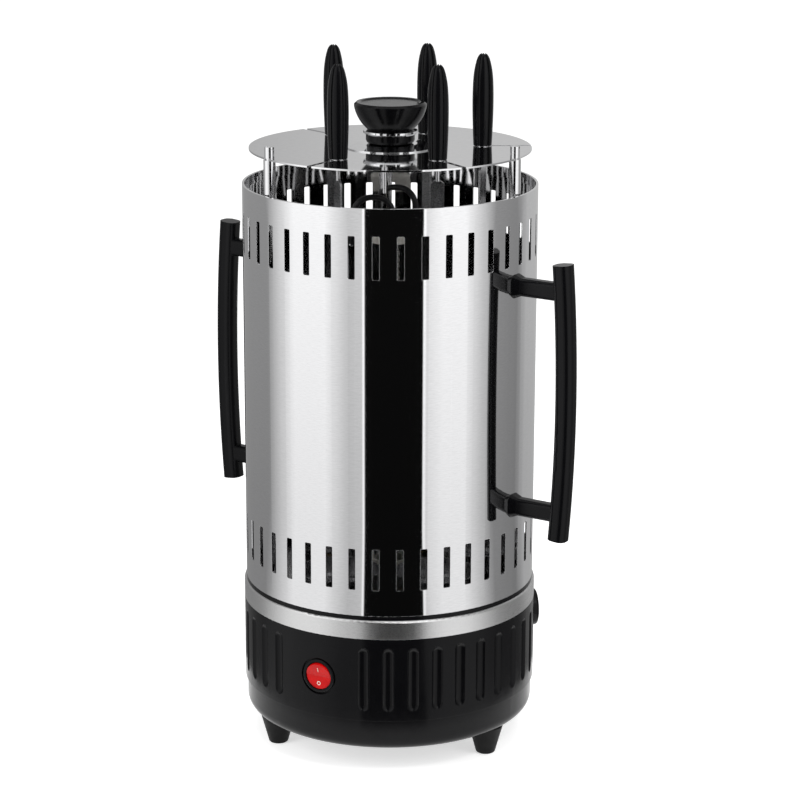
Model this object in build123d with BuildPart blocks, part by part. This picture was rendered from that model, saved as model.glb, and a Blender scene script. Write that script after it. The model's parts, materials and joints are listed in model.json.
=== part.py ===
"""Electric skewer grill: a round fluted base with motor and gears, five turning skewers
round a central heating tube, a slotted steel casing that lifts off, and a top disc with knob.

Millimetres, +Z up. The origin is on the table, in the middle of the base.
The casing's two handles lie along +X and -X. Angles are counted from +X towards +Y."""

import os
from math import cos, pi, radians, sin, sqrt

from build123d import *

os.makedirs("parts", exist_ok=True)

# ---------------------------------------------------------------- driving dimensions
# Clearances
running_gap = 0.05        # radial, shaft in its bush
loose_gap = 0.4           # between pieces that pass each other
seat_gap = 0.1            # radial, fixed piece in its hole

# Feet and base shells
base_radius = 101.5       # fluted housing and steel band
base_step = 1.5           # casing and bottom cover stand in from the band by this
bottom_cover_radius = base_radius - base_step
foot_count = 3
foot_circle_radius = bottom_cover_radius - 16
foot_start_angle = -4
foot_height = 20
foot_top_radius = 12
foot_tip_radius = 6.5
bottom_cover_height = 22  # from the feet to the parting line
bottom_cover_round = 8
plastic_wall = 2.5
housing_wall = 4.5
housing_height = 58.3     # from the parting line to the steel band
lap_height = 3            # tongue of the bottom cover inside the housing

# Flutes of the housing
flute_count = 38
flute_start_angle = -0.3
flute_width = 8           # where the round flute meets the wall
flute_height = 45
flute_depth = 2
flute_rise = 7            # from the parting line to the flute's lower end
plain_flutes = (4, 5, 28, 29, 30)   # places left plain behind the gland and round the switch

# Steel deck with its outer band
band_height = 13
deck_sheet = 0.8
band_round = 1.5

# Casing
casing_radius = base_radius - base_step
casing_sheet = 0.8
casing_height = 275.2
casing_lift = 2.8         # gap between band and casing
hem_height = 7
slot_count = 39
slot_start_angle = 2.6
slot_width = 4.7
slot_height = 28.5
slot_end_margin = 18      # from the casing's ends to the slots
slot_corner = 0.8

# Handles of the casing
grip_length = 188
grip_section = 13
grip_bow = 4
grip_reach = casing_radius + 35   # from the axis to the grip's ends
handle_rise = 2.2         # handle's middle above the casing's middle
arm_spacing = 151.5
arm_height = 12
arm_width = 10
arm_corner = 3
arm_flare = 2.5

# Skewers
skewer_count = 5
skewer_pitch = 63
skewer_middle_angle = 36
blade_width = 9
blade_thickness = 1.6
blade_turn = 60           # blade's broad way, counted from the skewer's own radius
neck_radius = 1.5
neck_length = 12
tip_width = 5.6
tip_length = 12
grip_bottom_radius = 6.2
grip_widest_radius = 6.9
grip_height = 62
collar_radius = 5.3
groove_count = 6
groove_width = 1.3
groove_depth = 0.7

# Gears
gear_module = 1.5
sun_teeth = 56
spindle_teeth = 27
pinion_teeth = 14
gear_height = 7
sun_bore_radius = 34
gear_backlash = 0.7       # share of play, in millimetres of tooth thickness

# Spindles and drip cups
spindle_radius = 4
motor_shaft_radius = 3
socket_radius = 5.2
socket_height = 22
cup_radius = 28
cup_height = 14
cup_sheet = 0.8
cup_lift = 6              # cup's underside above the deck

# Gear plate and motor
gear_plate_height = 94    # underside, above the table
gear_plate_thickness = 2
gear_plate_radius = base_radius - 5
motor_radius = 24.5
motor_height = 26
motor_ear_reach = 30

# Heater
heater_tube_radius = 11
heater_tube_wall = 1.5
heater_tube_length = casing_height - 41.2
heater_core_radius = 5
coil_radius = 7
socket_body_radius = 13.5
heater_cap_radius = 13
heater_cap_height = 12
lead_radius = 2
lead_tube_radius = 3

# Posts, disc and knob
post_count = 3
post_circle_radius = casing_radius - casing_sheet - 6.2
post_start_angle = 5
post_radius = 4
post_wall = 1
post_stud_radius = 2.5
nut_radius = 3.3
nut_height = 7.5
disc_radius = casing_radius - casing_sheet - 4
disc_thickness = 1.2
disc_rise = 24.2          # disc's top above the casing's rim
disc_slot_width = 3.4
cap_radius = 31
cap_height = 2.2
knob_collar_radius = 16.5
knob_collar_height = 6.5
knob_ring_radius = 18.3
knob_ring_height = 3
knob_foot_radius = 15.4
knob_rim_radius = 24.4
knob_height = 18.4
knob_bolt_radius = 2.5

# Switch and cord gland
switch_angle = 275
switch_height = 70        # switch's middle above the table
rocker_radius = 9.4
bezel_radius = 11.8
switch_depth = 22
rocker_tilt = 8           # each way from level
gland_angle = 42
gland_height = 83
gland_radius = 13
gland_reach = 4
gland_bore_radius = 3.75

# ---------------------------------------------------------------- derived places
parting_z = foot_height + bottom_cover_height
housing_top = parting_z + housing_height
deck_top = housing_top + band_height
deck_bottom = deck_top - deck_sheet
casing_bottom = deck_top + casing_lift
casing_top = casing_bottom + casing_height
disc_top = casing_top + disc_rise
disc_bottom = disc_top - disc_thickness
housing_inner = base_radius - housing_wall
casing_inner = casing_radius - casing_sheet
sun_pitch_radius = gear_module * sun_teeth / 2
spindle_pitch_radius = gear_module * spindle_teeth / 2
pinion_pitch_radius = gear_module * pinion_teeth / 2
spindle_circle = sun_pitch_radius + spindle_pitch_radius
pinion_circle = sun_pitch_radius + pinion_pitch_radius
skewer_angles = [skewer_middle_angle + skewer_pitch * (k - skewer_count // 2) for k in range(skewer_count)]
motor_angle = skewer_middle_angle + 180
post_angles = [post_start_angle + 360 / post_count * k for k in range(post_count)]
foot_angles = [foot_start_angle + 360 / foot_count * k for k in range(foot_count)]
gear_plate_top = gear_plate_height + gear_plate_thickness


def upright(x=0.0, y=0.0, angle=0.0):
    """A standing plane through (x, y) whose first axis points at the given angle and whose second is up."""
    turn = radians(angle)
    return Plane(origin=(x, y, 0), x_dir=(cos(turn), sin(turn), 0), z_dir=(sin(turn), -cos(turn), 0))


def around(radius, angle, height=0.0):
    """A point at a radius and an angle round the object's axis."""
    return (radius * cos(radians(angle)), radius * sin(radians(angle)), height)


def facing(angle, reach, height):
    """A plane that faces outwards at an angle, its first axis level and its second axis up."""
    turn = radians(angle)
    return Plane(origin=around(reach, angle, height), x_dir=(-sin(turn), cos(turn), 0),
                 z_dir=(cos(turn), sin(turn), 0))


def turned(points, x=0.0, y=0.0):
    """A solid turned from a closed outline of (radius, height) points, round the vertical through (x, y)."""
    with BuildPart() as body:
        with BuildSketch(upright(x, y)):
            with BuildLine():
                Polyline(*points, close=True)
            make_face()
        revolve(axis=Axis((x, y, 0), (0, 0, 1)))
    return body.part


def screw(shaft_radius, head_radius, head_height, length):
    """A pan-head screw that points down, with its head's underside at height 0."""
    return turned([(0, -length), (shaft_radius, -length), (shaft_radius, 0), (head_radius, 0),
                   (head_radius, head_height * 0.6), (head_radius * 0.7, head_height), (0, head_height)])


def save(part, label):
    part.label = label
    export_step(part, f"parts/{label}.step")


def group(parts):
    return Compound(children=list(parts))


# ---------------------------------------------------------------- feet and base shells
foot_screw_radius = 2
foot_recess_radius = 3.4
foot_recess_depth = 8
foot_round = 1.6
boss_radius = 6
boss_height = 14
cover_floor = foot_height + plastic_wall
housing_screw_count = 4
housing_screw_start = 75
UP = (Align.CENTER, Align.CENTER, Align.MIN)
DOWN = (Align.CENTER, Align.CENTER, Align.MAX)

with BuildPart() as feet:
    with Locations(*[around(foot_circle_radius, angle) for angle in foot_angles]):
        Cone(foot_tip_radius, foot_top_radius, foot_height, align=UP)
        fillet(feet.edges().group_by(Axis.Z)[0], foot_round)
        Cylinder(foot_recess_radius, foot_recess_depth, align=UP, mode=Mode.SUBTRACT)
        Cylinder(foot_screw_radius + seat_gap, foot_height, align=UP, mode=Mode.SUBTRACT)
save(feet.part, "feet")

foot_screw = Rot(180, 0, 0) * screw(foot_screw_radius, foot_recess_radius - loose_gap, 2.4, 20)
save(group(Pos(*around(foot_circle_radius, angle, foot_recess_depth)) * foot_screw for angle in foot_angles),
     "foot_screws")

tongue_outer = housing_inner - seat_gap
tongue_inner = tongue_outer - 2
housing_screw_circle = tongue_inner - 5.9
rim_depth = 5
housing_screw_radius = 1.8
housing_screw_angles = [housing_screw_start + 360 / housing_screw_count * k for k in range(housing_screw_count)]
stand_radius = 5

with BuildPart() as bottom_cover:
    with Locations((0, 0, foot_height)):
        Cylinder(bottom_cover_radius, bottom_cover_height, align=UP)
    fillet(bottom_cover.edges().group_by(Axis.Z)[0], bottom_cover_round)
    with Locations((0, 0, cover_floor)):
        Cylinder(bottom_cover_radius - plastic_wall, parting_z - rim_depth - cover_floor, align=UP,
                 mode=Mode.SUBTRACT)
    with Locations((0, 0, cover_floor)):
        Cylinder(tongue_inner, bottom_cover_height, align=UP, mode=Mode.SUBTRACT)
    with BuildSketch(Plane.XY.offset(parting_z)):
        Circle(tongue_outer)
        Circle(tongue_inner, mode=Mode.SUBTRACT)
    extrude(amount=lap_height)
    fillet(bottom_cover.edges().filter_by(GeomType.CIRCLE).filter_by(
        lambda edge: abs(edge.center().Z - cover_floor) < 0.01 and edge.radius > tongue_inner), bottom_cover_round / 2)
    with Locations(*[around(foot_circle_radius, angle, cover_floor) for angle in foot_angles]):
        Cylinder(boss_radius, boss_height, align=UP)
    with Locations(*[around(foot_circle_radius, angle, foot_height) for angle in foot_angles]):
        Cylinder(foot_screw_radius + seat_gap, boss_height, align=UP, mode=Mode.SUBTRACT)
    with Locations(*[around(housing_screw_circle, angle, cover_floor) for angle in housing_screw_angles]):
        Cylinder(stand_radius, parting_z - cover_floor, align=UP)
    with Locations(*[around(housing_screw_circle, angle, foot_height) for angle in housing_screw_angles]):
        Cylinder(housing_screw_radius + seat_gap, bottom_cover_height, align=UP, mode=Mode.SUBTRACT)
        Cylinder(stand_radius - 1.5, 6, align=UP, mode=Mode.SUBTRACT)
save(bottom_cover.part, "bottom_cover")

shoulder_height = 4
shoulder_radius = housing_inner - 7
housing_boss_height = 18
band_inner = base_radius - deck_sheet
switch_flat = base_radius - 2.2
barrel_radius = bezel_radius - 0.8
deck_screw_circle = housing_inner - 4
deck_screw_angles = [post_start_angle + 62 + 120 * k for k in range(3)]
deck_boss_radius = 4.5
plate_screw_circle = housing_inner - 4
small_screw_radius = 1.5
plate_screw_angles = [20 + 90 * k for k in range(4)]
stem_radius = 9
cutter_radius = (flute_width ** 2 / 4 + flute_depth ** 2) / (2 * flute_depth)
cutter_half = (flute_height - flute_width) / 2

with BuildPart() as flute_cutter:
    with BuildSketch(Plane.XZ):
        with BuildLine():
            CenterArc((0, cutter_half), cutter_radius, 0, 90)
            Line((cutter_radius, cutter_half), (cutter_radius, -cutter_half))
            CenterArc((0, -cutter_half), cutter_radius, -90, 90)
            Line((0, -cutter_half - cutter_radius), (0, cutter_half + cutter_radius))
        make_face()
    revolve(axis=Axis.Z)

with BuildPart() as base_housing:
    with BuildSketch(Plane.XY.offset(parting_z)):
        Circle(base_radius)
        Circle(housing_inner, mode=Mode.SUBTRACT)
    extrude(amount=housing_height)
    with BuildSketch(Plane.XY.offset(housing_top)):
        Circle(band_inner - seat_gap)
        Circle(housing_inner, mode=Mode.SUBTRACT)
    extrude(amount=deck_bottom - housing_top)
    with BuildSketch(Plane.XY.offset(gear_plate_height - shoulder_height)):
        Circle(base_radius - housing_wall / 2)
        Circle(shoulder_radius, mode=Mode.SUBTRACT)
    extrude(amount=shoulder_height)
    with Locations(*[around(housing_screw_circle, angle, parting_z) for angle in housing_screw_angles]):
        Cylinder(stand_radius, housing_boss_height, align=UP)
    for angle in housing_screw_angles:
        with Locations(Location(around(housing_screw_circle, angle, parting_z + lap_height + 1), (0, 0, angle))):
            Box(base_radius - housing_wall / 2 - housing_screw_circle, plastic_wall, housing_boss_height - 4,
                align=(Align.MIN, Align.CENTER, Align.MIN))
    with Locations(*[around(housing_screw_circle, angle, parting_z) for angle in housing_screw_angles]):
        Cylinder(housing_screw_radius + seat_gap, housing_boss_height - 2, align=UP, mode=Mode.SUBTRACT)
    with Locations(*[around(deck_screw_circle, angle, gear_plate_top + 1) for angle in deck_screw_angles]):
        Cylinder(deck_boss_radius, deck_bottom - gear_plate_top - 1, align=UP)
    with Locations(*[around(deck_screw_circle, angle, deck_bottom) for angle in deck_screw_angles]):
        Cylinder(small_screw_radius + seat_gap, 12, align=DOWN, mode=Mode.SUBTRACT)
    with Locations(*[around(plate_screw_circle, angle, gear_plate_height) for angle in plate_screw_angles]):
        Cylinder(small_screw_radius + seat_gap, shoulder_height, align=DOWN, mode=Mode.SUBTRACT)
    with Locations(*[around(base_radius - flute_depth + cutter_radius, flute_start_angle + 360 / flute_count * k,
                            parting_z + flute_rise + flute_height / 2)
                     for k in range(flute_count) if k not in plain_flutes]):
        add(flute_cutter.part, mode=Mode.SUBTRACT)
    with BuildSketch(facing(switch_angle, switch_flat, switch_height)):
        Circle(bezel_radius + 1.2)
    extrude(amount=2 * flute_depth, mode=Mode.SUBTRACT)
    with BuildSketch(facing(switch_angle, housing_inner - 5, switch_height)):
        Circle(barrel_radius + seat_gap)
    extrude(amount=housing_wall + 10, mode=Mode.SUBTRACT)
    with BuildSketch(facing(gland_angle, shoulder_radius - 5, gland_height)):
        Circle(stem_radius + seat_gap)
    extrude(amount=base_radius - shoulder_radius + 10, mode=Mode.SUBTRACT)
save(base_housing.part, "base_housing")

housing_screw = Rot(180, 0, 0) * screw(housing_screw_radius, stand_radius - 2, 2.5, 28)
save(group(Pos(*around(housing_screw_circle, angle, foot_height + 6)) * housing_screw
           for angle in housing_screw_angles), "housing_screws")

# ---------------------------------------------------------------- steel deck and casing seat
bush_radius = 6.5
bush_flange_radius = 8.5
bush_flange = 1.6
bush_length = 5           # below the flange
lead_ends = [around(2.5 * heater_tube_radius, 238.5), around(heater_tube_radius + 8.2, 5)]
lead_starts = [around(heater_cap_radius - 3.8, -44.5), around(heater_cap_radius - 4.8, 227)]
spindle_points = [around(spindle_circle, angle) for angle in skewer_angles]
post_points = [around(post_circle_radius, angle) for angle in post_angles]

with BuildPart() as deck:
    with Locations((0, 0, housing_top)):
        Cylinder(base_radius, band_height, align=UP)
    fillet(deck.edges().group_by(Axis.Z)[-1], band_round)
    with Locations((0, 0, housing_top)):
        Cylinder(band_inner, band_height - deck_sheet, align=UP, mode=Mode.SUBTRACT)
        Cylinder(socket_body_radius + seat_gap, 2 * band_height, align=UP, mode=Mode.SUBTRACT)
    with Locations(*[Location((x, y, deck_top)) for x, y, z in spindle_points]):
        Cylinder(bush_radius + seat_gap, band_height / 2, align=(Align.CENTER,) * 3, mode=Mode.SUBTRACT)
    with Locations(*[Location((x, y, deck_top)) for x, y, z in lead_ends]):
        Cylinder(lead_tube_radius + seat_gap, band_height / 2, align=(Align.CENTER,) * 3, mode=Mode.SUBTRACT)
    with Locations(*[Location((x, y, deck_top)) for x, y, z in post_points]):
        Cylinder(post_stud_radius + seat_gap, band_height / 2, align=(Align.CENTER,) * 3, mode=Mode.SUBTRACT)
    with Locations(*[around(deck_screw_circle, angle, deck_top) for angle in deck_screw_angles]):
        Cylinder(small_screw_radius + seat_gap, band_height / 2, align=(Align.CENTER,) * 3, mode=Mode.SUBTRACT)
save(deck.part, "deck")

seat_wall = 1.4
seat_lip_height = 3
lip_outer = casing_inner - loose_gap
lip_inner = lip_outer - seat_wall
save(turned([(lip_inner, deck_top), (casing_radius, deck_top), (casing_radius, casing_bottom),
             (lip_outer, casing_bottom), (lip_outer, casing_bottom + seat_lip_height),
             (lip_inner, casing_bottom + seat_lip_height)]), "casing_seat")

# ---------------------------------------------------------------- gear plate, motor, gear train
gear_lift = 4             # gears' underside above the gear plate
gear_bottom = gear_plate_top + gear_lift
gear_top = gear_bottom + gear_height
hub_bore_radius = sun_bore_radius - 2.1
motor_place = around(pinion_circle, motor_angle)
motor_ear_thickness = 2
motor_shaft_depth = 10
shaft_hole_radius = 6.5
ear_angles = (motor_angle + 90, motor_angle - 90)


def ear_point(angle, height):
    """The place of a motor screw, beside the motor's shaft."""
    return (motor_place[0] + motor_ear_reach * cos(radians(angle)),
            motor_place[1] + motor_ear_reach * sin(radians(angle)), height)


with BuildPart() as gear_plate:
    with Locations((0, 0, gear_plate_height)):
        Cylinder(gear_plate_radius, gear_plate_thickness, align=UP)
        Cylinder(hub_bore_radius, gear_plate_thickness, align=UP, mode=Mode.SUBTRACT)
    with Locations(*[Location((x, y, gear_plate_height)) for x, y, z in spindle_points]):
        Cylinder(bush_radius + seat_gap, gear_plate_thickness, align=UP, mode=Mode.SUBTRACT)
    with Locations(Location((motor_place[0], motor_place[1], gear_plate_height))):
        Cylinder(shaft_hole_radius, gear_plate_thickness, align=UP, mode=Mode.SUBTRACT)
    with Locations(*[ear_point(angle, gear_plate_height) for angle in ear_angles]):
        Cylinder(small_screw_radius + seat_gap, gear_plate_thickness, align=UP, mode=Mode.SUBTRACT)
    with Locations(*[around(plate_screw_circle, angle, gear_plate_height) for angle in plate_screw_angles]):
        Cylinder(small_screw_radius + seat_gap, gear_plate_thickness, align=UP, mode=Mode.SUBTRACT)
save(gear_plate.part, "gear_plate")

with BuildPart() as motor:
    with Locations(Location((motor_place[0], motor_place[1], gear_plate_height))):
        Cylinder(motor_radius, motor_height, align=DOWN)
    fillet(motor.edges().group_by(Axis.Z)[0], 2)
    with BuildSketch(Plane(origin=(motor_place[0], motor_place[1], gear_plate_height - motor_ear_thickness),
                           x_dir=(-sin(radians(motor_angle)), cos(radians(motor_angle)), 0), z_dir=(0, 0, 1))):
        SlotOverall(2 * motor_ear_reach + 10, 10)
    extrude(amount=motor_ear_thickness)
    with Locations(Location((motor_place[0], motor_place[1], gear_plate_height))):
        Cylinder(motor_shaft_radius + running_gap, motor_shaft_depth + 1, align=DOWN, mode=Mode.SUBTRACT)
    with Locations(*[ear_point(angle, gear_plate_height) for angle in ear_angles]):
        Cylinder(small_screw_radius + seat_gap, motor_ear_thickness, align=DOWN, mode=Mode.SUBTRACT)
save(motor.part, "motor")

small_screw = screw(small_screw_radius, 2.6, 1.6, 5.5)
save(group([Pos(*around(deck_screw_circle, angle, deck_top)) * small_screw for angle in deck_screw_angles]
           + [Pos(*around(plate_screw_circle, angle, gear_plate_top)) * small_screw for angle in plate_screw_angles]
           + [Pos(*ear_point(angle, gear_plate_height - motor_ear_thickness)) * Rot(180, 0, 0) * small_screw
              for angle in ear_angles]), "machine_screws")


def gear_points(teeth, middle, phase):
    """The outline of a spur gear round a middle point, with one tooth's middle at the angle phase."""
    pitch_radius = gear_module * teeth / 2
    half_tooth = (pi * gear_module / 2 - gear_backlash) / 2
    points = []
    for tooth in range(teeth):
        for side, rise in ((-1, -1.2), (-1, 0.9), (1, 0.9), (1, -1.2)):
            radius = pitch_radius + rise * gear_module
            half_width = half_tooth - rise * gear_module * sin(radians(20))
            angle = radians(phase + 360 / teeth * tooth) + side * half_width / radius
            points.append((middle[0] + radius * cos(angle), middle[1] + radius * sin(angle)))
    return points


def mating_phase(angle, teeth):
    """Where a gear at this angle round the sun gear has a tooth, so that its gap meets the sun's tooth."""
    sun_step = 360 / sun_teeth
    tooth_offset = (round(angle / sun_step) * sun_step - angle)
    return angle + 180 - tooth_offset * sun_teeth / teeth + 180 / teeth


with BuildPart() as sun_gear:
    with BuildSketch(Plane.XY.offset(gear_bottom)):
        with BuildLine():
            Polyline(*gear_points(sun_teeth, (0, 0), 0), close=True)
        make_face()
        Circle(sun_bore_radius, mode=Mode.SUBTRACT)
    extrude(amount=gear_height)
save(sun_gear.part, "sun_gear")

hub_flange_radius = 38
hub_gap = 0.3
save(turned([(hub_bore_radius, gear_plate_top), (hub_flange_radius, gear_plate_top),
             (hub_flange_radius, gear_bottom - hub_gap), (sun_bore_radius - running_gap, gear_bottom - hub_gap),
             (sun_bore_radius - running_gap, gear_top + hub_gap), (hub_bore_radius, gear_top + hub_gap)]), "sun_hub")

with BuildPart() as drive_pinion:
    with BuildSketch(Plane.XY.offset(gear_bottom)):
        with BuildLine():
            Polyline(*gear_points(pinion_teeth, motor_place, mating_phase(motor_angle, pinion_teeth)), close=True)
        make_face()
    extrude(amount=gear_height)
    with Locations(Location((motor_place[0], motor_place[1], gear_bottom))):
        Cylinder(motor_shaft_radius, gear_bottom - gear_plate_height + motor_shaft_depth, align=DOWN)
save(drive_pinion.part, "drive_pinion")

# ---------------------------------------------------------------- spindles, bushes, drip cups
spindle_bottom = gear_plate_height - bush_length + 1
bush_top = deck_top + bush_flange
shoulder_z = bush_top + loose_gap
spindle_shoulder_radius = 6
cup_bottom = deck_top + cup_lift
socket_top = cup_bottom + socket_height
socket_floor = socket_top - tip_length - 2


def blade_angle(index):
    return skewer_angles[index] + blade_turn


for index, (x, y, z) in enumerate(spindle_points):
    with BuildPart() as spindle:
        with BuildSketch(upright(x, y)):
            with BuildLine():
                Polyline((0, spindle_bottom), (spindle_radius, spindle_bottom), (spindle_radius, shoulder_z),
                         (spindle_shoulder_radius, shoulder_z), (spindle_shoulder_radius, cup_bottom),
                         (socket_radius, cup_bottom), (socket_radius, socket_top), (0, socket_top), close=True)
            make_face()
        revolve(axis=Axis((x, y, 0), (0, 0, 1)))
        with BuildSketch(Plane.XY.offset(gear_bottom)):
            with BuildLine():
                Polyline(*gear_points(spindle_teeth, (x, y), mating_phase(skewer_angles[index], spindle_teeth)),
                         close=True)
            make_face()
        extrude(amount=gear_height)
        turn = radians(blade_angle(index))
        with BuildSketch(Plane(origin=(x, y, socket_floor), x_dir=(cos(turn), sin(turn), 0), z_dir=(0, 0, 1))):
            Rectangle(tip_width + loose_gap, blade_thickness + loose_gap)
        extrude(amount=socket_top - socket_floor, mode=Mode.SUBTRACT)
    save(spindle.part, f"spindle_{index + 1}")
    save(turned([(socket_radius + seat_gap, cup_bottom), (cup_radius - 2, cup_bottom), (cup_radius, cup_bottom + 2),
                 (cup_radius, cup_bottom + cup_height), (cup_radius - cup_sheet, cup_bottom + cup_height),
                 (cup_radius - cup_sheet, cup_bottom + 2.4), (cup_radius - 2.4, cup_bottom + cup_sheet),
                 (socket_radius + 1.5, cup_bottom + cup_sheet), (socket_radius + 1.5, cup_bottom + 5),
                 (socket_radius + seat_gap, cup_bottom + 5)], x, y), f"drip_cup_{index + 1}")

save(group(turned([(spindle_radius + running_gap, seat - bush_length), (bush_radius, seat - bush_length),
                   (bush_radius, seat), (bush_flange_radius, seat), (bush_flange_radius, seat + bush_flange),
                   (spindle_radius + running_gap, seat + bush_flange)], x, y)
           for x, y, z in spindle_points for seat in (deck_top, gear_plate_top)), "spindle_bushes")

# ---------------------------------------------------------------- skewers
grip_bottom = disc_top + 0.5
tang_length = 40
blade_shoulder = disc_bottom - neck_length
skewer_foot = socket_floor + 0.5

for index, (x, y, z) in enumerate(spindle_points):
    with BuildPart() as skewer_blade:
        with BuildSketch(upright(x, y, blade_angle(index))):
            with BuildLine():
                Polyline((0, skewer_foot), (tip_width / 2, skewer_foot + 3), (tip_width / 2, socket_top + 0.5),
                         (blade_width / 2, socket_top + 5), (blade_width / 2, blade_shoulder - 2.5),
                         (neck_radius, blade_shoulder), (-neck_radius, blade_shoulder),
                         (-blade_width / 2, blade_shoulder - 2.5), (-blade_width / 2, socket_top + 5),
                         (-tip_width / 2, socket_top + 0.5), (-tip_width / 2, skewer_foot + 3), close=True)
            make_face()
        extrude(amount=blade_thickness / 2, both=True)
        with Locations(Location((x, y, blade_shoulder - 1))):
            Cylinder(neck_radius, grip_bottom + tang_length - blade_shoulder + 1, align=UP)
        with Locations(Location((x, y, grip_bottom))):
            Cylinder(collar_radius, grip_bottom - disc_bottom, align=DOWN)
    save(skewer_blade.part, f"skewer_blade_{index + 1}")


def grip_outline(shrink):
    """Half outline of a skewer's handle, drawn in by shrink, from its foot to its rounded top."""
    with BuildLine() as outline:
        Line((0, 0), (grip_bottom_radius - shrink, 0))
        Spline((grip_bottom_radius - shrink, 0), (grip_widest_radius - shrink, grip_height * 0.66),
               (grip_widest_radius * 0.72 - shrink, grip_height * 0.9), (0, grip_height - shrink),
               tangents=((0.05, 1), (-1, 0)))
        Line((0, grip_height - shrink), (0, 0))
    return outline.line


def grip_body(shrink):
    with BuildPart() as body:
        with BuildSketch(Plane.XZ):
            add(grip_outline(shrink).edges())
            make_face()
        revolve(axis=Axis.Z)
    return body.part


with BuildPart() as groove_star:
    with PolarLocations(grip_widest_radius, groove_count):
        Box(2 * grip_widest_radius, groove_width, 2 * grip_height)
groove_cutter = groove_star.part - grip_body(groove_depth)
skewer_grip = grip_body(0) - groove_cutter - Cylinder(neck_radius + running_gap, 2 * tang_length)
for index, (x, y, z) in enumerate(spindle_points):
    save(Pos(x, y, grip_bottom) * Rot(0, 0, skewer_angles[index]) * skewer_grip, f"skewer_handle_{index + 1}")

# ---------------------------------------------------------------- heater and its leads
socket_flange = 3
socket_cup_height = 12
tube_bottom = deck_top + 7
tube_top = tube_bottom + heater_tube_length
core_bottom = deck_top + 1
core_reach = 3            # core beyond the tube's upper end
cap_skirt = 4
cap_bottom = tube_top - cap_skirt
heater_cap_top = cap_bottom + heater_cap_height
tube_seat = heater_tube_radius + seat_gap
core_seat = heater_core_radius + seat_gap

save(turned([(0, deck_bottom - 8), (socket_body_radius, deck_bottom - 8), (socket_body_radius, deck_top),
             (socket_body_radius + 2, deck_top), (socket_body_radius + 2, deck_top + socket_flange),
             (socket_body_radius, deck_top + socket_flange), (socket_body_radius, deck_top + socket_cup_height),
             (tube_seat, deck_top + socket_cup_height), (tube_seat, tube_bottom), (core_seat, tube_bottom),
             (core_seat, core_bottom), (0, core_bottom)]), "heater_socket")
save(turned([(heater_tube_radius - heater_tube_wall, tube_bottom), (heater_tube_radius, tube_bottom),
             (heater_tube_radius, tube_top), (heater_tube_radius - heater_tube_wall, tube_top)]), "heater_tube")
save(turned([(0, core_bottom), (heater_core_radius, core_bottom), (heater_core_radius, tube_top + core_reach),
             (0, tube_top + core_reach)]), "heater_core")
save(turned([(core_seat, tube_bottom + 8), (coil_radius, tube_bottom + 8), (coil_radius, tube_top - 8),
             (core_seat, tube_top - 8)]), "heater_coil")
save(turned([(tube_seat, cap_bottom), (heater_cap_radius, cap_bottom), (heater_cap_radius, heater_cap_top - 1.5),
             (heater_cap_radius - 1.5, heater_cap_top), (0, heater_cap_top), (0, tube_top + core_reach + 0.3),
             (core_seat, tube_top + core_reach + 0.3), (core_seat, tube_top + 0.2), (tube_seat, tube_top + 0.2)]),
     "heater_cap")

block_angle = 130
block_circle = 55
block_length = 36
block_width = 12
block_height = 13
block_top = cover_floor + block_height
wire_level = block_top + 16
loop_rises = (20.2, 26.2)   # loops' tops above the heater's cap


def block_point(slot, height):
    """A wire's place on the terminal block, counted along it from its middle."""
    x, y, z = around(block_circle, block_angle)
    step = 6 * slot
    return (x - step * sin(radians(block_angle)), y + step * cos(radians(block_angle)), height)


def wire(points, radius, bends):
    """A round wire along straight runs joined by arcs."""
    with BuildPart() as body:
        with BuildLine() as route:
            FilletPolyline(*points, radius=bends)
        with BuildSketch(Plane(origin=route.line @ 0, z_dir=route.line % 0)):
            Circle(radius)
        sweep()
    return body.part


leads = []
for slot, start, end, rise in zip((-2, -1), lead_starts, lead_ends, loop_rises):
    loop_top = heater_cap_top + rise
    reach = sqrt((start[0] - end[0]) ** 2 + (start[1] - end[1]) ** 2)
    route = [(start[0], start[1], heater_cap_top), (start[0], start[1], loop_top), (end[0], end[1], loop_top),
             (end[0], end[1], wire_level), block_point(slot, wire_level), block_point(slot, block_top)]
    leads.append(wire(route, lead_radius, [0.45 * reach, 0.45 * reach, 12, 12]))
save(group(leads), "heater_leads")
save(group(turned([(lead_radius + seat_gap, deck_bottom - 3), (lead_tube_radius, deck_bottom - 3),
                   (lead_tube_radius, cap_bottom), (lead_radius + seat_gap, cap_bottom)], x, y)
           for x, y, z in lead_ends), "lead_tubes")

with BuildPart() as terminal_block:
    with BuildSketch(Plane(origin=around(block_circle, block_angle, cover_floor),
                           x_dir=(-sin(radians(block_angle)), cos(radians(block_angle)), 0), z_dir=(0, 0, 1))):
        RectangleRounded(block_length, block_width, 2)
    extrude(amount=block_height)
save(terminal_block.part, "terminal_block")

# ---------------------------------------------------------------- posts, disc, knob
plug_height = 12
stud_reach = 5            # studs beyond the sheets they pass through
with BuildPart() as posts:
    with Locations(*[Location((x, y, deck_top)) for x, y, z in post_points]):
        Cylinder(post_radius, disc_bottom - deck_top, align=UP)
    with Locations(*[Location((x, y, deck_top + plug_height)) for x, y, z in post_points]):
        Cylinder(post_radius - post_wall, disc_bottom - deck_top - 2 * plug_height, align=UP, mode=Mode.SUBTRACT)
    with Locations(*[Location((x, y, deck_bottom - stud_reach)) for x, y, z in post_points]):
        Cylinder(post_stud_radius, plug_height, align=UP)
    with Locations(*[Location((x, y, disc_top + stud_reach)) for x, y, z in post_points]):
        Cylinder(post_stud_radius, plug_height, align=DOWN)
save(posts.part, "posts")

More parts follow.
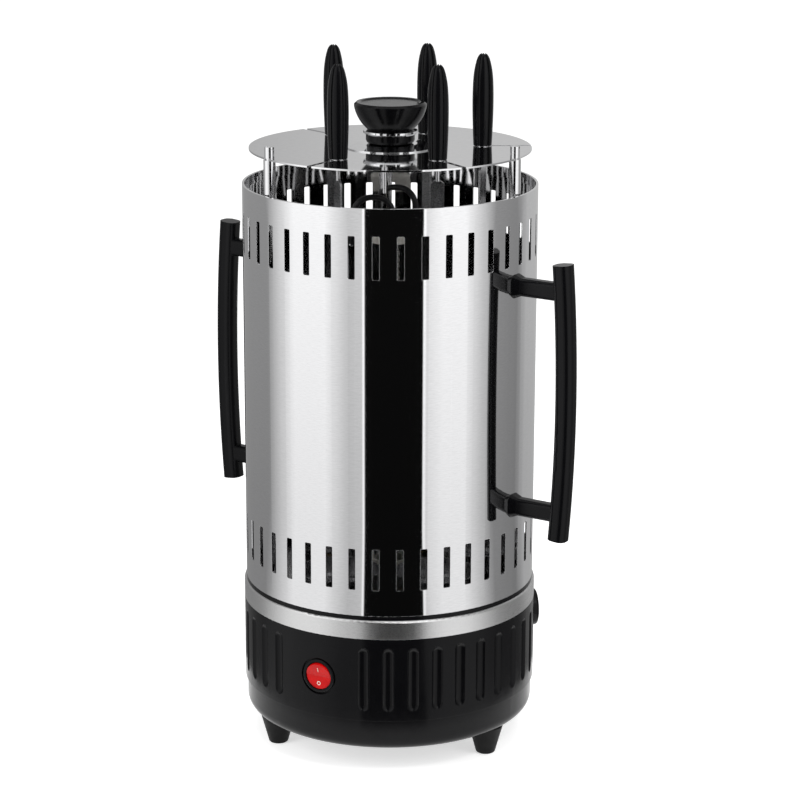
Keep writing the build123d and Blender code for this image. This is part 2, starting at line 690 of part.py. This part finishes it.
nut_slot_width = 1
nut_slot_depth = 2
with BuildPart() as cap_nut:
    Cylinder(nut_radius, nut_height, align=UP)
    Cylinder(post_stud_radius + seat_gap, stud_reach + 0.5, align=UP, mode=Mode.SUBTRACT)
    with Locations((0, 0, nut_height)):
        Box(3 * nut_radius, nut_slot_width, nut_slot_depth, align=DOWN, mode=Mode.SUBTRACT)
save(group([Pos(x, y, disc_top) * cap_nut.part for x, y, z in post_points]
           + [Pos(x, y, deck_bottom) * Rot(180, 0, 0) * cap_nut.part for x, y, z in post_points]), "post_nuts")

stud_angle = 301
stud_circle = disc_radius - 3.2
disc_stud_radius = 1.2
disc_stud_drop = 14
with BuildPart() as top_disc:
    with Locations((0, 0, disc_bottom)):
        Cylinder(disc_radius, disc_thickness, align=UP)
        Cylinder(knob_bolt_radius + seat_gap, disc_thickness, align=UP, mode=Mode.SUBTRACT)
    with Locations(*[Location((x, y, disc_bottom)) for x, y, z in spindle_points]):
        Cylinder(collar_radius + loose_gap, disc_thickness, align=UP, mode=Mode.SUBTRACT)
    slot_length = disc_radius - spindle_circle + 2
    with BuildSketch(Plane.XY.offset(disc_bottom)):
        for angle in skewer_angles:
            with Locations(Location(around(spindle_circle + slot_length / 2, angle), (0, 0, angle))):
                Rectangle(slot_length, disc_slot_width)
        for angle in post_angles:
            with Locations(Location(around(post_circle_radius, angle), (0, 0, angle))):
                Circle(post_stud_radius + seat_gap)
                Rectangle(2 * post_radius, 2 * (post_stud_radius + seat_gap), align=(Align.MIN, Align.CENTER))
        with Locations(Location(around(stud_circle, stud_angle))):
            Circle(disc_stud_radius + seat_gap)
    extrude(amount=disc_thickness, mode=Mode.SUBTRACT)
save(top_disc.part, "top_disc")

stud_x, stud_y, stud_z = around(stud_circle, stud_angle)
save(turned([(0, disc_bottom - disc_stud_drop), (disc_stud_radius, disc_bottom - disc_stud_drop),
             (disc_stud_radius, disc_top), (2, disc_top), (2, disc_top + 1.8), (disc_stud_radius, disc_top + 1.8),
             (disc_stud_radius, disc_top + 3), (0, disc_top + 3)], stud_x, stud_y), "disc_stud")

bolt_seat = knob_bolt_radius + seat_gap
cap_top = disc_top + cap_height
collar_top = cap_top + knob_collar_height
ring_top = collar_top + knob_ring_height
knob_bottom = ring_top + 0.1
bolt_top = knob_bottom + knob_height - 6
save(turned([(0, disc_bottom - 3), (5, disc_bottom - 3), (5, disc_bottom), (knob_bolt_radius, disc_bottom),
             (knob_bolt_radius, bolt_top), (0, bolt_top)]), "knob_bolt")
save(turned([(bolt_seat, disc_top), (cap_radius, disc_top), (cap_radius, disc_top + 0.7),
             (knob_ring_radius, cap_top), (bolt_seat, cap_top)]), "top_cap")
save(turned([(bolt_seat, cap_top), (knob_collar_radius - 2.5, cap_top), (knob_collar_radius - 0.7, cap_top + 1),
             (knob_collar_radius, cap_top + 2.5), (knob_collar_radius, collar_top), (bolt_seat, collar_top)]),
     "knob_collar")
save(turned([(bolt_seat, collar_top), (knob_ring_radius - 1, collar_top), (knob_ring_radius, collar_top + 1),
             (knob_ring_radius, ring_top - 0.6), (knob_foot_radius, ring_top), (bolt_seat, ring_top)]), "knob_ring")

with BuildPart() as knob:
    with BuildSketch(Plane.XZ):
        with BuildLine():
            Polyline((0, knob_bottom), (knob_foot_radius, knob_bottom))
            ThreePointArc((knob_foot_radius, knob_bottom),
                          (knob_rim_radius - 2.2, knob_bottom + knob_height * 0.48),
                          (knob_rim_radius, knob_bottom + knob_height - 3))
            Polyline((knob_rim_radius, knob_bottom + knob_height - 3), (knob_rim_radius, knob_bottom + knob_height - 1.5),
                     (knob_rim_radius - 1.5, knob_bottom + knob_height), (knob_rim_radius - 4, knob_bottom + knob_height),
                     (knob_rim_radius - 5, knob_bottom + knob_height - 0.8),
                     (0, knob_bottom + knob_height - 0.8), (0, knob_bottom))
        make_face()
    revolve(axis=Axis.Z)
    with Locations((0, 0, knob_bottom)):
        Cylinder(knob_bolt_radius + running_gap, bolt_top + 0.3 - knob_bottom, align=UP, mode=Mode.SUBTRACT)
save(knob.part, "knob")

# ---------------------------------------------------------------- casing and its handles
handle_middle = casing_bottom + casing_height / 2 + handle_rise
arm_heights = [handle_middle + side * arm_spacing / 2 for side in (-1, 1)]
handle_screw_radius = 2
handle_screw_length = 14
slot_middles = [casing_bottom + slot_end_margin + slot_height / 2,
                casing_top - slot_end_margin - slot_height / 2]
side_angles = (0, 180)

with BuildPart() as casing:
    with BuildSketch(Plane.XY.offset(casing_bottom)):
        Circle(casing_radius)
        Circle(casing_inner, mode=Mode.SUBTRACT)
    extrude(amount=casing_height)
    with BuildSketch(Plane.XY.offset(casing_top - hem_height)):
        Circle(casing_inner + casing_sheet / 2)
        Circle(casing_inner - casing_sheet, mode=Mode.SUBTRACT)
    extrude(amount=hem_height)
    with BuildSketch(*[facing(slot_start_angle + 360 / slot_count * k, casing_inner - 2, middle)
                       for k in range(slot_count) for middle in slot_middles]):
        RectangleRounded(slot_width, slot_height, slot_corner)
    extrude(amount=4, mode=Mode.SUBTRACT)
    with BuildSketch(*[facing(angle, casing_inner - 2, height) for angle in side_angles for height in arm_heights]):
        Circle(handle_screw_radius + seat_gap)
    extrude(amount=4, mode=Mode.SUBTRACT)
save(casing.part, "casing")

with BuildPart() as side_handle:
    with BuildLine() as grip_path:
        ThreePointArc((grip_reach, 0, handle_middle - grip_length / 2), (grip_reach + grip_bow, 0, handle_middle),
                      (grip_reach, 0, handle_middle + grip_length / 2))
    with BuildSketch(Plane(origin=grip_path.line @ 0, z_dir=grip_path.line % 0, x_dir=(0, 1, 0))):
        RectangleRounded(grip_section, grip_section, grip_section * 0.38)
    sweep()
    for height in arm_heights:
        with BuildSketch(facing(0, casing_radius - 1, height)) as root:
            RectangleRounded(arm_width + 2 * arm_flare, arm_height + 2 * arm_flare, arm_corner + arm_flare)
        with BuildSketch(facing(0, casing_radius + 2 * arm_flare, height)) as neck:
            RectangleRounded(arm_width, arm_height, arm_corner)
        loft()
        with BuildSketch(facing(0, casing_radius + 2 * arm_flare, height)) as arm:
            RectangleRounded(arm_width, arm_height, arm_corner)
        extrude(amount=grip_reach - casing_radius - 2 * arm_flare)
    with Locations((0, 0, handle_middle)):
        Cylinder(casing_radius, 2 * grip_length, mode=Mode.SUBTRACT)
    with BuildSketch(*[facing(0, casing_radius - 1, height) for height in arm_heights]):
        Circle(handle_screw_radius + seat_gap)
    extrude(amount=handle_screw_length + 1, mode=Mode.SUBTRACT)
save(side_handle.part, "side_handle_right")
save(Rot(0, 0, 180) * side_handle.part, "side_handle_left")

handle_screw = screw(handle_screw_radius, 3.2, 1.6, handle_screw_length)
save(group(Plane(origin=around(casing_inner - seat_gap, angle, height), z_dir=around(-1, angle)) * handle_screw
           for angle in side_angles for height in arm_heights), "handle_screws")

# ---------------------------------------------------------------- switch and cord gland
well_radius = rocker_radius + 0.3
bezel_thickness = 2
well_depth = 11
pivot_depth = 1           # rocker's pivot below the housing's flat
pivot_reach = switch_flat - pivot_depth
pivot_pin_radius = 1.2
pivot_pin_length = well_radius + 0.8
with BuildPart() as switch_bezel:
    with BuildSketch(facing(switch_angle, switch_flat, switch_height)):
        Circle(bezel_radius)
    extrude(amount=bezel_thickness)
    fillet(switch_bezel.edges().filter_by(GeomType.CIRCLE).sort_by(
        lambda edge: edge.center().X ** 2 + edge.center().Y ** 2)[-1], 0.8)
    with BuildSketch(facing(switch_angle, switch_flat - switch_depth, switch_height)):
        Circle(barrel_radius + seat_gap / 2)
    extrude(amount=switch_depth)
    with BuildSketch(*[facing(switch_angle, switch_flat - switch_depth - 7, switch_height + step)
                       for step in (-5, 0, 5)]):
        Rectangle(5, 0.8)
    extrude(amount=8)
    with BuildSketch(facing(switch_angle, switch_flat - well_depth, switch_height)):
        Circle(well_radius)
    extrude(amount=well_depth + 5, mode=Mode.SUBTRACT)
pin_hole = Rot(0, 90, 0) * Cylinder(pivot_pin_radius + running_gap, 2 * pivot_pin_length)
save(switch_bezel.part - facing(switch_angle, pivot_reach, switch_height) * pin_hole, "switch_bezel")

button_depth = 6
crest = pivot_depth + 1.2
with BuildPart() as rocker:
    with Locations((0, 0, -button_depth)):
        Cylinder(rocker_radius, button_depth + crest + 4, align=UP)
    Sphere(well_radius - running_gap, mode=Mode.INTERSECT)
    with BuildSketch(Plane.YZ):
        with BuildLine():
            rise = rocker_radius * sin(radians(rocker_tilt))
            Polyline((0, crest), (rocker_radius, crest + rise), (rocker_radius, 2 * rocker_radius),
                     (-rocker_radius, 2 * rocker_radius), (-rocker_radius, crest + rise), close=True)
        make_face()
    extrude(amount=rocker_radius, both=True, mode=Mode.SUBTRACT)
    Cylinder(pivot_pin_radius, 2 * pivot_pin_length - 2 * loose_gap, rotation=(0, 90, 0))
save(facing(switch_angle, pivot_reach, switch_height) * Rot(rocker_tilt, 0, 0) * rocker.part, "rocker")

with BuildPart() as cord_gland:
    with BuildSketch(facing(gland_angle, base_radius - 4, gland_height)):
        Circle(gland_radius)
    extrude(amount=gland_reach + 4)
    fillet(cord_gland.edges().filter_by(GeomType.CIRCLE).sort_by(
        lambda edge: edge.center().X ** 2 + edge.center().Y ** 2)[-1], 2)
    with Locations((0, 0, gland_height)):
        Cylinder(base_radius, 4 * gland_radius, mode=Mode.SUBTRACT)
    with BuildSketch(facing(gland_angle, housing_inner - 6, gland_height)):
        Circle(stem_radius)
    extrude(amount=housing_wall + 6.5)
    with BuildSketch(facing(gland_angle, housing_inner - 7, gland_height)):
        Circle(gland_bore_radius)
    extrude(amount=housing_wall + gland_reach + 10, mode=Mode.SUBTRACT)
save(cord_gland.part, "cord_gland")

# ---------------------------------------------------------------- wiring inside the base
wire_radius = 1.2
wire_circle = 49
switch_back = around(switch_flat - switch_depth - 7, switch_angle)
wires = [wire([(0, 0, deck_bottom - 8), (0, 0, wire_level + 10), block_point(0, wire_level + 10),
               block_point(0, block_top)], wire_radius, 12)]
for slot, step in ((1, -5), (2, 5)):
    wires.append(wire([(switch_back[0], switch_back[1], switch_height + step),
                       around(wire_circle, switch_angle, switch_height + step),
                       around(wire_circle, motor_angle - 2 * step, wire_level - 3 + step),
                       block_point(slot, wire_level - 3 + step), block_point(slot, block_top)], wire_radius,
                      [8, 8, 6]))
save(group(wires), "wiring")
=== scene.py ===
"""Electric skewer grill: materials, small details, studio and camera."""

import json
from math import cos, pi, radians, sin

import bpy
from mathutils import Matrix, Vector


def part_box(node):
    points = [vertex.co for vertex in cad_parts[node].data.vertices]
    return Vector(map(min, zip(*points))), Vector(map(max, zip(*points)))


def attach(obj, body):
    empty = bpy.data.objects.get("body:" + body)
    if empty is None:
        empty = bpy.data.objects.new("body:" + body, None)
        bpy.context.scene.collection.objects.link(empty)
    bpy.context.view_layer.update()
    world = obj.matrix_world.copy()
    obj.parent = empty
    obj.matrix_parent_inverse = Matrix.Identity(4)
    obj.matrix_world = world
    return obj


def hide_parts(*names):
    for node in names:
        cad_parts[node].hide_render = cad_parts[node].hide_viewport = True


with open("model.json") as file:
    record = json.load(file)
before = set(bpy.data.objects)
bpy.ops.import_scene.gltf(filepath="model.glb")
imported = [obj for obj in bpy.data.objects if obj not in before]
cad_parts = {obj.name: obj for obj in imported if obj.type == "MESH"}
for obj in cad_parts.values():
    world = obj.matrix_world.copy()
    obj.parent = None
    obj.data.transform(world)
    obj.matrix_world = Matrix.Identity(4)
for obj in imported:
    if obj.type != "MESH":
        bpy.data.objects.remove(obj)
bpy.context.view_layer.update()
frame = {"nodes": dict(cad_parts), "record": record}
nodes = frame["nodes"]

# ---------------------------------------------------------------- places, in metres and degrees
PHOTO_AZIMUTH = 33        # the camera's turn from the front
CAMERA_PITCH = 14.954
CAMERA_ROLL = 0.17
CAMERA_PLACE = (0.9466, -1.4447, 0.7001)
CAMERA_LENS = 116.54
SWITCH_ANGLE = 275
OBJECT_MIDDLE = 0.25
UNIFORM = (1, 1, 1)       # a grain with no direction


def around(radius, angle, height=0.0):
    """A point at a radius and an angle round the object's axis."""
    return (radius * cos(radians(angle)), radius * sin(radians(angle)), height)


# ---------------------------------------------------------------- materials
class Finish:
    """A node material in the making, with one Principled shader."""

    def __init__(self, name, **sockets):
        self.material = bpy.data.materials.new(name)
        self.material.use_nodes = True
        self.tree = self.material.node_tree
        self.shader = self.tree.nodes["Principled BSDF"]
        for socket, value in sockets.items():
            self.shader.inputs[socket.replace("_", " ")].default_value = value
        self.place = self.tree.nodes.new("ShaderNodeTexCoord").outputs["Object"]

    def node(self, kind, **values):
        made = self.tree.nodes.new(kind)
        for name, value in values.items():
            if hasattr(made, name):
                setattr(made, name, value)
            else:
                made.inputs[name.replace("_", " ")].default_value = value
        return made

    def link(self, output, socket):
        self.tree.links.new(output, socket)

    def stretched(self, scale):
        """Object coordinates with each axis scaled."""
        mapping = self.node("ShaderNodeMapping", Scale=scale)
        self.link(self.place, mapping.inputs["Vector"])
        return mapping.outputs["Vector"]

    def noise(self, size, scale=UNIFORM, detail=3.0):
        """Noise with lumps about size metres long, stretched by scale."""
        noise = self.node("ShaderNodeTexNoise", Scale=1 / size, Detail=detail)
        self.link(self.stretched(scale), noise.inputs["Vector"])
        return noise.outputs["Fac"]

    def ramp(self, factor, low, high, socket, ends=(0.3, 0.7)):
        """A value or colour that runs from low to high with a factor."""
        ramp = self.node("ShaderNodeValToRGB")
        for element, place, value in zip(ramp.color_ramp.elements, ends, (low, high)):
            element.position = place
            element.color = (*value, 1) if isinstance(value, tuple) else (value, value, value, 1)
        self.link(factor, ramp.inputs["Fac"])
        self.link(ramp.outputs["Color"], self.shader.inputs[socket])

    def relief(self, factor, depth, round_edges=0.0):
        """Bump of a depth in metres, over edges softened by a radius."""
        bump = self.node("ShaderNodeBump", Strength=1.0, Distance=depth)
        self.link(factor, bump.inputs["Height"])
        if round_edges:
            bevel = self.node("ShaderNodeBevel", samples=4, Radius=round_edges)
            self.link(bevel.outputs["Normal"], bump.inputs["Normal"])
        self.link(bump.outputs["Normal"], self.shader.inputs["Normal"])


def moulded(name, colour, roughness, grain=0.00001, fade=0.0, gloss=0.3):
    """Moulded plastic with faint flow marks and fine grain."""
    finish = Finish(name, Base_Color=(*colour, 1), Specular_IOR_Level=gloss)
    lighter = tuple(c * 1.25 + fade for c in colour)
    finish.ramp(finish.noise(0.03), colour, lighter, "Base Color")
    finish.ramp(finish.noise(0.006), roughness * 0.85, roughness * 1.15, "Roughness")
    finish.relief(finish.noise(0.0006, detail=2), grain, round_edges=0.0004)
    return finish.material


def steel(name, colour, roughness, streak=(1, 1, 12), grain=0.000002, round_edges=0.0003):
    """Steel with fine drawn streaks; streak stretches them."""
    finish = Finish(name, Metallic=1.0)
    darker = tuple(c * 0.93 for c in colour)
    finish.ramp(finish.noise(0.004, streak), darker, colour, "Base Color")
    finish.ramp(finish.noise(0.0015, streak), roughness * 0.8, roughness * 1.2, "Roughness")
    finish.relief(finish.noise(0.0008, streak, detail=2), grain, round_edges)
    return finish.material


def quartz(name):
    """Clear quartz glass with a faint waviness."""
    finish = Finish(name, Roughness=0.03, IOR=1.46, Transmission_Weight=1.0)
    finish.ramp(finish.noise(0.01), (0.93, 0.94, 0.95), (0.99, 1.0, 1.0), "Base Color")
    finish.relief(finish.noise(0.02), 0.00002)
    return finish.material


def woven(name, colour, thread=0.0007):
    """Braided sleeving: two crossing waves of threads."""
    finish = Finish(name, Sheen_Weight=0.15)
    heights = []
    for turn in (radians(40), radians(-40)):
        mapping = finish.node("ShaderNodeMapping", Rotation=(turn, turn, 0))
        finish.link(finish.place, mapping.inputs["Vector"])
        wave = finish.node("ShaderNodeTexWave", Scale=1 / (20 * thread), Distortion=0.6)
        finish.link(mapping.outputs["Vector"], wave.inputs["Vector"])
        heights.append(wave.outputs["Fac"])
    weave = finish.node("ShaderNodeMath", operation="MAXIMUM")
    for height, socket in zip(heights, weave.inputs):
        finish.link(height, socket)
    finish.ramp(weave.outputs["Value"], tuple(c * 0.6 for c in colour), colour, "Base Color")
    finish.ramp(finish.noise(0.002), 0.35, 0.5, "Roughness")
    finish.relief(weave.outputs["Value"], 0.00015)
    return finish.material


def rubber(name, colour):
    """Dull rubber with a fine grain."""
    finish = Finish(name, Specular_IOR_Level=0.15)
    finish.ramp(finish.noise(0.01), colour, tuple(c * 1.5 for c in colour), "Base Color")
    finish.ramp(finish.noise(0.003), 0.45, 0.6, "Roughness")
    finish.relief(finish.noise(0.0005), 0.00003, round_edges=0.0005)
    return finish.material


def ceramic(name, colour):
    """Unglazed ceramic, slightly mottled."""
    finish = Finish(name)
    finish.ramp(finish.noise(0.004), tuple(c * 0.88 for c in colour), colour, "Base Color")
    finish.ramp(finish.noise(0.002), 0.6, 0.8, "Roughness")
    finish.relief(finish.noise(0.0007), 0.00006, round_edges=0.0004)
    return finish.material


def lens(name, colour):
    """The smooth coloured plastic of a rocker."""
    finish = Finish(name, Specular_IOR_Level=0.2)
    finish.ramp(finish.noise(0.004), tuple(c * 0.75 for c in colour), colour, "Base Color")
    finish.ramp(finish.noise(0.002), 0.16, 0.24, "Roughness")
    finish.relief(finish.noise(0.001), 0.00001, round_edges=0.0006)
    return finish.material


finishes = {
    "black_plastic": moulded("black_plastic", (0.0025, 0.0025, 0.003), 0.18, gloss=0.16),
    "rubber_black": rubber("rubber_black", (0.005, 0.005, 0.005)),
    "polished_steel": steel("polished_steel", (0.84, 0.84, 0.85), 0.05, streak=(1, 1, 8),
                            grain=0.0000005),
    "steel": steel("steel", (0.58, 0.58, 0.59), 0.26),
    "zinc_steel": steel("zinc_steel", (0.66, 0.66, 0.63), 0.3, streak=UNIFORM),
    "brass": steel("bronze", (0.6, 0.42, 0.2), 0.35, streak=UNIFORM),
    "nylon": moulded("nylon", (0.72, 0.7, 0.62), 0.4, fade=0.01),
    "ceramic": ceramic("ceramic", (0.8, 0.78, 0.72)),
    "quartz": quartz("quartz"),
    "heating_wire": steel("heating_wire", (0.3, 0.27, 0.25), 0.4, streak=UNIFORM),
    "sleeving": woven("sleeving", (0.006, 0.006, 0.007)),
    "wire_cover": moulded("wire_cover", (0.05, 0.05, 0.055), 0.4),
    "red_plastic": lens("red_plastic", (0.58, 0.003, 0.003)),
}


def dress(piece, material):
    """Gives a piece one material and no other."""
    piece.data.materials.clear()
    piece.data.materials.append(material)


for entry in frame["record"]["subparts"]:
    dress(nodes[entry["node"]], finishes[entry["material_slot"]])
dress(nodes["deck"], steel("brushed_band", (0.78, 0.78, 0.78), 0.3, streak=(1, 1, 30),
                           grain=0.000004))


# ---------------------------------------------------------------- new pieces
def piece(name, vertices, faces, body, slot, smooth=True):
    """A mesh piece that rides on a body and takes a record slot's finish."""
    mesh = bpy.data.meshes.new(name)
    mesh.from_pydata(vertices, [], faces)
    mesh.validate()
    made = bpy.data.objects.new(name, mesh)
    bpy.context.scene.collection.objects.link(made)
    for polygon in mesh.polygons:
        polygon.use_smooth = smooth
    dress(made, finishes[slot])
    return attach(made, body)


WINDING_RADIUS, WIRE_RADIUS, WINDING_TURNS = 0.0061, 0.0007, 52
WINDING_MARGIN = 0.001    # bare core at each end
TURN_STEPS, WIRE_SIDES = 20, 8


def wound_wire(name, low, high, body, slot):
    """A helix of round wire round the object's axis, between two heights."""
    steps = WINDING_TURNS * TURN_STEPS
    vertices, faces = [], []
    for step in range(steps + 1):
        turn = 2 * pi * step / TURN_STEPS
        height = low + (high - low) * step / steps
        for side in range(WIRE_SIDES):
            swing = 2 * pi * side / WIRE_SIDES
            reach = WINDING_RADIUS + WIRE_RADIUS * cos(swing)
            vertices.append((reach * cos(turn), reach * sin(turn), height + WIRE_RADIUS * sin(swing)))
    for step in range(steps):
        for side in range(WIRE_SIDES):
            here, there = step * WIRE_SIDES + side, step * WIRE_SIDES + (side + 1) % WIRE_SIDES
            faces.append((here, there, there + WIRE_SIDES, here + WIRE_SIDES))
    faces.append(tuple(range(WIRE_SIDES))[::-1])
    faces.append(tuple(steps * WIRE_SIDES + side for side in range(WIRE_SIDES)))
    return piece(name, vertices, faces, body, slot)


low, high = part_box("heater_coil")
coil = wound_wire("heater_winding", low.z + WINDING_MARGIN, high.z - WINDING_MARGIN, "base", "heating_wire")
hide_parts("heater_coil")

# Marks on the rocker: a bar on its upper half, a ring on its lower half. The bar is partly the switch's on
# mark and partly a painted highlight, drawn white where the proud upper half catches a glint.
ROCKER_CREST, ROCKER_TILT = 0.0022, radians(8)
MARK_PLACE, MARK_LIFT = 0.005, 0.00006
RING_OUTER, RING_INNER, RING_SIDES = 0.0014, 0.0009, 32
BAR_OUTER, BAR_INNER = (0.0003, 0.0015), (0.0001, 0.0013)   # half width and half height
joints = frame["record"]["behaviour"]["joints"]
rocker_pivot = next(joint["pos_m"] for joint in joints if joint["name"] == "rocker_tilt")


def on_rocker(across, up, lift):
    """A point on the rocker's hollow face, counted from its pivot."""
    out = ROCKER_CREST + abs(up) * sin(ROCKER_TILT) + lift
    level = up * cos(ROCKER_TILT) - out * sin(ROCKER_TILT)
    reach = up * sin(ROCKER_TILT) + out * cos(ROCKER_TILT)
    x, y, z = rocker_pivot
    side, face = around(across, SWITCH_ANGLE + 90), around(reach, SWITCH_ANGLE)
    return (x + side[0] + face[0], y + side[1] + face[1], z + level)


def mark(name, outline, inner):
    """A printed mark between two closed outlines with equal numbers of (across, up) points."""
    count = len(outline)
    vertices = [on_rocker(*point, lift) for lift in (-MARK_LIFT, MARK_LIFT) for point in outline + inner]
    faces = []
    for k in range(count):
        n = (k + 1) % count
        faces.append((k, n, 2 * count + n, 2 * count + k))
        faces.append((count + n, count + k, 3 * count + k, 3 * count + n))
        faces.append((n, k, count + k, count + n))
        faces.append((2 * count + k, 2 * count + n, 3 * count + n, 3 * count + k))
    return piece(name, vertices, faces, "rocker", "nylon", smooth=False)


def ring_points(radius):
    """A circle on the rocker's lower half."""
    turns = [2 * pi * k / RING_SIDES for k in range(RING_SIDES)]
    return [(radius * cos(turn), radius * sin(turn) - MARK_PLACE) for turn in turns]


def bar_points(width, height):
    """An upright rectangle on the rocker's upper half."""
    corners = ((-1, -1), (1, -1), (1, 1), (-1, 1))
    return [(side * width, MARK_PLACE + end * height) for side, end in corners]


mark("off_mark", ring_points(RING_OUTER), ring_points(RING_INNER))
# The bar: a white on mark that is partly print and partly a painted glint on the upper half.
mark("on_mark_and_painted_glint", bar_points(*BAR_OUTER), bar_points(*BAR_INNER))

# ---------------------------------------------------------------- studio
scene = bpy.context.scene
scene.view_settings.view_transform = "Standard"
camera = bpy.data.objects.new("camera", bpy.data.cameras.new("camera"))
scene.collection.objects.link(camera)
camera.matrix_world = (Matrix.Translation(CAMERA_PLACE)
                       @ Matrix.Rotation(radians(PHOTO_AZIMUTH), 4, "Z")
                       @ Matrix.Rotation(radians(90 - CAMERA_PITCH), 4, "X")
                       @ Matrix.Rotation(radians(CAMERA_ROLL), 4, "Z"))
camera.data.lens = CAMERA_LENS
camera.data.sensor_width = 36
scene.camera = camera


def light_path(tree):
    """A factor that is 1 for what the camera, metal and glass see."""
    path = tree.nodes.new("ShaderNodeLightPath")
    outputs = [path.outputs[name] for name in ("Is Camera Ray", "Is Glossy Ray", "Is Transmission Ray")]
    for output in outputs[1:]:
        both = tree.nodes.new("ShaderNodeMath")
        both.operation = "MAXIMUM"
        tree.links.new(outputs[0], both.inputs[0])
        tree.links.new(output, both.inputs[1])
        outputs[0] = both.outputs["Value"]
    return outputs[0]


WORLD_LIGHT, WORLD_SEEN = 0.55, 1.0   # what lights the object, and what shows in metal and glass
world = bpy.data.worlds.new("studio")
scene.world = world
world.use_nodes = True
tree = world.node_tree
background = tree.nodes["Background"]
background.inputs["Color"].default_value = (1, 1, 1, 1)
level = tree.nodes.new("ShaderNodeMapRange")
level.inputs["To Min"].default_value = WORLD_LIGHT
level.inputs["To Max"].default_value = WORLD_SEEN
tree.links.new(light_path(tree), level.inputs["Value"])
tree.links.new(level.outputs["Result"], background.inputs["Strength"])

FLOOR_RADIUS, FLOOR_DROP, FLOOR_GLOW = 12, 0.0002, 0.6
bpy.ops.mesh.primitive_circle_add(vertices=96, radius=FLOOR_RADIUS, fill_type="NGON",
                                  location=(0, 0, -FLOOR_DROP))
floor = bpy.context.object
floor.name = "floor"
floor_material = bpy.data.materials.new("floor")
floor_material.use_nodes = True
tree = floor_material.node_tree
shader = tree.nodes["Principled BSDF"]
shader.inputs["Base Color"].default_value = (0.8, 0.8, 0.8, 1)
shader.inputs["Roughness"].default_value = 0.9
shader.inputs["Specular IOR Level"].default_value = 0.1
shader.inputs["Emission Color"].default_value = (1, 1, 1, 1)
glow = tree.nodes.new("ShaderNodeMath")
glow.operation = "MULTIPLY"
glow.inputs[1].default_value = FLOOR_GLOW
tree.links.new(light_path(tree), glow.inputs[0])
tree.links.new(glow.outputs["Value"], shader.inputs["Emission Strength"])
dress(floor, floor_material)

# Studio cards on a ring round the object, as metal mirrors them: two bright soft cards, a dark one
# with lit edges between them, and grey sides. Each stop is an azimuth, counted to the right from
# PHOTO_AZIMUTH, and a brightness.
CARD_STOPS = [
    (-180, 0.5), (-140, 0.3), (-100, 0.3), (-70, 1.1), (-45, 1.1), (-28, 0.65), (-18.5, 0.7),
    (-18, 1.2), (-17, 1.2), (-16.7, 0.004), (22.5, 0.004), (22.8, 1.2), (24, 1.2),
    (25, 0.85), (35, 1.1), (52, 1.1), (80, 0.3), (105, 0.25), (120, 0.5), (180, 0.5),
]


def card_level(azimuth):
    """The cards' brightness at an azimuth, between the stops on both sides of it."""
    for (start, first), (end, last) in zip(CARD_STOPS, CARD_STOPS[1:]):
        if azimuth <= end:
            return first + (last - first) * (azimuth - start) / (end - start)
    return CARD_STOPS[-1][1]


RING_STEPS = 720
RING_ROWS = (             # height, radius, share of the cards' brightness
    (0.0, 0.19, 0.8), (0.08, 0.4, 0.86), (0.62, 0.4, 1.25), (1.15, 0.4, 1.1),
)
ring_vertices, ring_faces, ring_levels = [], [], []
for step in range(RING_STEPS):
    azimuth = -180 + 360 / RING_STEPS * step
    for z, radius, share in RING_ROWS:
        ring_vertices.append(around(radius, azimuth - 90 + PHOTO_AZIMUTH, z))
        ring_levels.append(share * card_level(azimuth))
    here = len(RING_ROWS) * step
    there = (here + len(RING_ROWS)) % (RING_STEPS * len(RING_ROWS))
    ring_faces += [(here + k, there + k, there + k + 1, here + k + 1) for k in range(len(RING_ROWS) - 1)]
ring_mesh = bpy.data.meshes.new("studio_cards")
ring_mesh.from_pydata(ring_vertices, [], ring_faces)
glow_level = ring_mesh.attributes.new("glow", "FLOAT", "POINT")
glow_level.data.foreach_set("value", ring_levels)
ring = bpy.data.objects.new("studio_cards", ring_mesh)
scene.collection.objects.link(ring)
ring_material = bpy.data.materials.new("studio_cards")
ring_material.use_nodes = True
tree = ring_material.node_tree
tree.nodes.remove(tree.nodes["Principled BSDF"])
attribute = tree.nodes.new("ShaderNodeAttribute")
attribute.attribute_name = "glow"
emission = tree.nodes.new("ShaderNodeEmission")
tree.links.new(attribute.outputs["Fac"], emission.inputs["Strength"])
tree.links.new(emission.outputs["Emission"], tree.nodes["Material Output"].inputs["Surface"])
dress(ring, ring_material)
ring.visible_camera = False
ring.visible_diffuse = False
ring.visible_shadow = False
ring.visible_transmission = False


def softbox(name, azimuth, elevation, distance, size, power):
    """A rectangular area lamp aimed at the object's middle, which metal doesn't mirror."""
    data = bpy.data.lights.new(name, "AREA")
    data.shape = "RECTANGLE"
    data.size, data.size_y = size
    data.energy = power
    lamp = bpy.data.objects.new(name, data)
    scene.collection.objects.link(lamp)
    turn, tilt = radians(azimuth + PHOTO_AZIMUTH - 90), radians(elevation)
    lamp.location = (distance * cos(tilt) * cos(turn), distance * cos(tilt) * sin(turn),
                     OBJECT_MIDDLE + distance * sin(tilt))
    lamp.rotation_euler = (pi / 2 - tilt, 0, turn + pi / 2)
    lamp.visible_glossy = False
    return lamp


softbox("softbox_left", -50, 25, 2.2, (1.0, 1.4), 22)
softbox("softbox_right", 55, 30, 2.2, (0.9, 1.4), 16)
softbox("softbox_top", 10, 80, 2.0, (1.4, 1.4), 14)
glint = softbox("glint", 24, 42, 1.6, (0.16, 0.16), 3)
glint.visible_glossy = True
